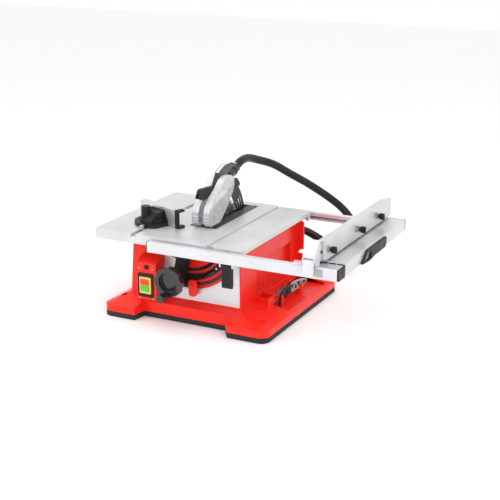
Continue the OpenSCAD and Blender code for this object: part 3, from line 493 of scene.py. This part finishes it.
# Clear lens: a small window over the fence scale, cut from clear acrylic and screwed to the fence
# head, with a fine red hairline across it.
hairline_x, hairline_wide = 0.455, 0.0012
lens = Finish("clear_acrylic", Roughness=0.05, Alpha=0.35, IOR=1.49)
lens_line = wrap_ticks(lens.axis("X") - hairline_x, 1.0, hairline_wide)
lens.feed(Base_Color=lens.blend(lens_line, (0.85, 0.9, 0.92, 1), (0.6, 0.02, 0.02, 1)))
lens.raised(lens.spots(150, (1, 1, 1), 2), 0.00003, 0.2)
eased("scale_lens", "fence", lens, 0.0006)


# Glossy black pieces: handwheel, its crank knob and the suction adapter are moulded in a polished
# black plastic; the gauge's clamp knob is the duller nylon.
gloss_black = Finish("gloss_black", Coat_Weight=0.4, Coat_Roughness=0.06, Specular_IOR_Level=0.5)
prints = gloss_black.step(gloss_black.spots(35, (1, 1, 1), 5), 0.35, 0.75)
gloss_black.feed(Base_Color=gloss_black.blend(prints, (0.009, 0.009, 0.01, 1), (0.02, 0.02, 0.021, 1)),
                 Roughness=gloss_black.step(prints, 0, 1, 0.14, 0.32))
gloss_black.raised(gloss_black.spots(400, (1, 1, 1), 2), 0.00008, 0.3)
eased("handwheel", "handwheel", gloss_black, 0.003, 4)
eased("crank_knob", "crank_knob", gloss_black, 0.003, 4)
# the adapter's flat arm is painted pale on the upward faces of its top edge: a painted highlight for the
# light that edge reflects
highlight_foot, highlight_half = 0.503, 0.0062
adapter_gloss = Finish("adapter_black_top_highlight", Coat_Weight=0.4, Coat_Roughness=0.06, Specular_IOR_Level=0.4)
facing = adapter_gloss.node("ShaderNodeNewGeometry", out="Normal")
upward = adapter_gloss.node("ShaderNodeSeparateXYZ", None, {"Vector": facing}, out="Z")
on_edge = adapter_gloss.within(adapter_gloss.axis("X") - blade_plane, (-highlight_half, highlight_half))
# painted highlight: pale colour only where the top edge faces upwards
on_top_highlight = (upward > 0.2) * on_edge * (adapter_gloss.axis("Z") > highlight_foot)
adapter_grain = adapter_gloss.step(adapter_gloss.spots(70, (1, 1, 1), 4), 0.3, 0.7)
arm_black = adapter_gloss.blend(adapter_grain, (0.009, 0.009, 0.01, 1), (0.02, 0.02, 0.021, 1))
highlight_pale = adapter_gloss.blend(adapter_grain, (0.52, 0.54, 0.53, 1), (0.75, 0.77, 0.76, 1))
adapter_gloss.feed(Base_Color=adapter_gloss.blend(on_top_highlight, arm_black, highlight_pale),
          Roughness=adapter_gloss.step(adapter_grain, 0, 1, 0.16, 0.34))
adapter_gloss.raised(on_top_highlight, 0.0006, 0.5)
eased("suction_adapter", "rising_unit", adapter_gloss, 0.002, 3)
eased("mitre_knob", "mitre_knob", black, 0.001, 2)


# Guard shields: two translucent whitish hoods, one on each side of the blade. The lower half of
# each side is pressed into slanting ribs that run parallel to its rear edge.
rib_pitch, rib_across = 0.0092, (-0.674, 0.739)
smoke = Finish("smoky_shield", Specular_IOR_Level=0.5, IOR=1.45)
rib_phase = (smoke.axis("Y") * rib_across[0] + smoke.axis("Z") * rib_across[1]) * (2 * math.pi / rib_pitch)
rib_wave = rib_phase.math("SINE", rib_phase, 0)
below_seam = smoke.step(smoke.axis("Z") - smoke.axis("Y") * 0.35, 0.444, 0.437)
rib_relief_and_shade = smoke.step(rib_wave, -0.5, 0.6) * below_seam
cloudy = smoke.step(smoke.spots(40, (1, 1, 1), 5), 0.3, 0.7)
clear_white = smoke.blend(cloudy, (0.72, 0.73, 0.75, 1), (0.88, 0.89, 0.90, 1))
# the rib bands are coloured darker grey: painted shade in the rib grooves; the same mask also drives the rib
# bump
smoke.feed(Base_Color=smoke.blend(rib_relief_and_shade * 0.75, clear_white, (0.40, 0.41, 0.44, 1)),
           Roughness=smoke.step(cloudy, 0, 1, 0.18, 0.34),
           Alpha=0.62 - (smoke.axis("X") < blade_plane) * (smoke.axis("Z") > 0.43) * 0.42)
smoke.raised(rib_relief_and_shade, 0.0018, 0.8, round_off=0.002)
eased("blade_shields", "shields", smoke, 0.0015, 3)


# Push stick: moulded nylon arch, pale grey towards the grip end and black towards the notched end,
# with triangular pockets between its ribs whose floors are painted near black as painted shade.
pocket_floor = (0.2602, 0.2612)
stick = Finish("stick_nylon", Specular_IOR_Level=0.4)
half = stick.step(stick.axis("Y"), 0.02, 0.03)
# painted shade: the pocket floors are coloured near black
pocket_shade = stick.within(stick.axis("X"), pocket_floor)
skin = stick.blend(half, (0.03, 0.03, 0.03, 1), wear(stick, (0.36, 0.36, 0.36, 1), (0.46, 0.46, 0.46, 1),
                                                     (0.6, 0.6, 0.6, 1)))
stick.feed(Base_Color=stick.blend(pocket_shade, skin, (0.012, 0.012, 0.012, 1)),
           Roughness=stick.step(stick.spots(40), 0.3, 0.7, 0.38, 0.55))
stick.raised(stick.spots(700, (1, 1, 1), 2), 0.0002, 0.6)
eased("push_stick", "push_stick", stick, 0.0006)


# Studio: a pale seamless floor under the saw, a large soft light above it, two weaker lights at the
# front, one on each side, and an even pale surround.
floor_half, floor_level = 9, -0.0005
floor_corners = [(x * floor_half, y * floor_half, floor_level)
                 for x, y in ((-1, -1), (1, -1), (1, 1), (-1, 1))]
floor_mesh = bpy.data.meshes.new("studio_floor")
floor_mesh.from_pydata(floor_corners, [], [(0, 1, 2, 3)])
floor = bpy.data.objects.new("studio_floor", floor_mesh)
bpy.context.scene.collection.objects.link(floor)
floor_paint = Finish("floor_paint", Specular_IOR_Level=0.2)
floor_tone = floor_paint.blend(floor_paint.spots(3), (0.93, 0.93, 0.93, 1), (0.96, 0.96, 0.96, 1))
floor_paint.feed(Base_Color=floor_tone, Roughness=0.9)
floor.data.materials.append(floor_paint.material)


def soft_light(name, place, target, size, power):
    """A square area light at place, facing target."""
    lamp = bpy.data.lights.new(name, "AREA")
    lamp.size = size
    lamp.energy = power
    holder = bpy.data.objects.new(name, lamp)
    holder.location = place
    holder.rotation_euler = (Vector(target) - Vector(place)).to_track_quat("-Z", "Y").to_euler()
    bpy.context.scene.collection.objects.link(holder)


soft_light("overhead", (0.3, -0.4, 3.0), (0.1, 0, 0.2), 3.0, 34)
soft_light("left_front", (-2.6, -2.6, 1.7), (0, 0, 0.2), 1.8, 26)
soft_light("right_front", (2.8, -2.2, 1.6), (0.1, 0, 0.25), 1.6, 14)
surround = bpy.data.worlds.new("pale_surround")
bpy.context.scene.world = surround
surround.use_nodes = True
surround.node_tree.nodes["Background"].inputs["Color"].default_value = (1, 1, 1, 1)
surround.node_tree.nodes["Background"].inputs["Strength"].default_value = 1.0
